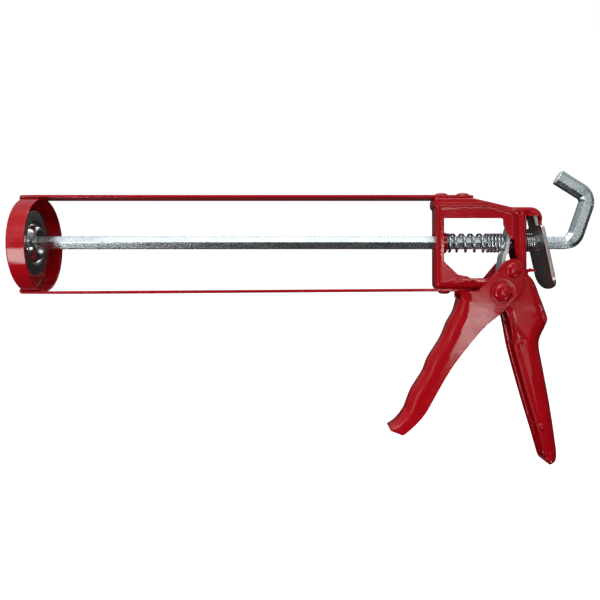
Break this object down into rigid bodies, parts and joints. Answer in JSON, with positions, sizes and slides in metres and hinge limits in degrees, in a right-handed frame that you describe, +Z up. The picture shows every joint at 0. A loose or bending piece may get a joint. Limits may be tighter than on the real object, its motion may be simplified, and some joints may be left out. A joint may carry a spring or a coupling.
{
  "type": "caulking gun",
  "caption": "Skeleton caulking gun: cradle of two strips and a front ring, hexagonal hooked push rod, drive and brake plates with springs, squeeze trigger over a folded sheet grip.",
  "frame": {"origin": "centre of the nozzle hole, on the front face of the front cap", "axes": "+Z up, +X from the nozzle end along the push rod towards its hook, +Y to the right-hand side of a user who points the nozzle away"},
  "size_m": [0.3196, 0.0524, 0.164],
  "materials": {
    "red_enamel": "gloss",
    "zinc_plate": "bright zinc",
    "dark_zinc": "satin zinc",
    "spring_steel": "bright",
    "plain_steel": "satin"
  },
  "bodies": {
    "frame": {"front_cap": "red_enamel", "top_strip": "red_enamel", "bottom_strip": "red_enamel", "top_strip_rivets": "red_enamel", "bottom_strip_rivets": "red_enamel", "frame_left": "red_enamel", "frame_right": "red_enamel", "grip_rivets": "red_enamel", "rod_bush": "red_enamel", "pivot_rivet": "red_enamel", "pivot_spacer": "plain_steel", "drive_spring": "spring_steel", "brake_spring": "spring_steel"},
    "trigger": {"trigger": "red_enamel", "pusher_pin": "red_enamel", "pusher_roller": "plain_steel"},
    "drive_plate": {"drive_plate": "zinc_plate"},
    "brake_plate": {"brake_plate": "dark_zinc"},
    "rod": {"rod": "zinc_plate", "plunger_disc": "zinc_plate", "plunger_washer": "zinc_plate"}
  },
  "joints": [
    {"name": "trigger_pivot", "type": "hinge", "parent": "frame", "child": "trigger", "pos_m": [0.2644, 0, -0.0264], "axis": [0, -1, 0], "range_deg": [0, 36], "stiffness_Nm_per_rad": 0.9, "springref_deg": -20.05},
    {"name": "drive_slide", "type": "slide", "parent": "frame", "child": "drive_plate", "axis": [-1, 0, 0], "range_m": [0, 0.0084], "deforming": ["drive_spring"]},
    {"name": "brake_release", "type": "hinge", "parent": "frame", "child": "brake_plate", "pos_m": [0.2835, 0, 0.0158], "axis": [0, 1, 0], "range_deg": [0, 8], "stiffness_Nm_per_rad": 0.6, "springref_deg": -22.92, "deforming": ["brake_spring"]},
    {"name": "rod_slide", "type": "slide", "parent": "frame", "child": "rod", "axis": [1, 0, 0], "range_m": [-0.002, 0.216]}
  ],
  "couplings": [
    {"joint": "drive_slide", "follows": "trigger_pivot", "m_per_rad": 0.0133}
  ]
}
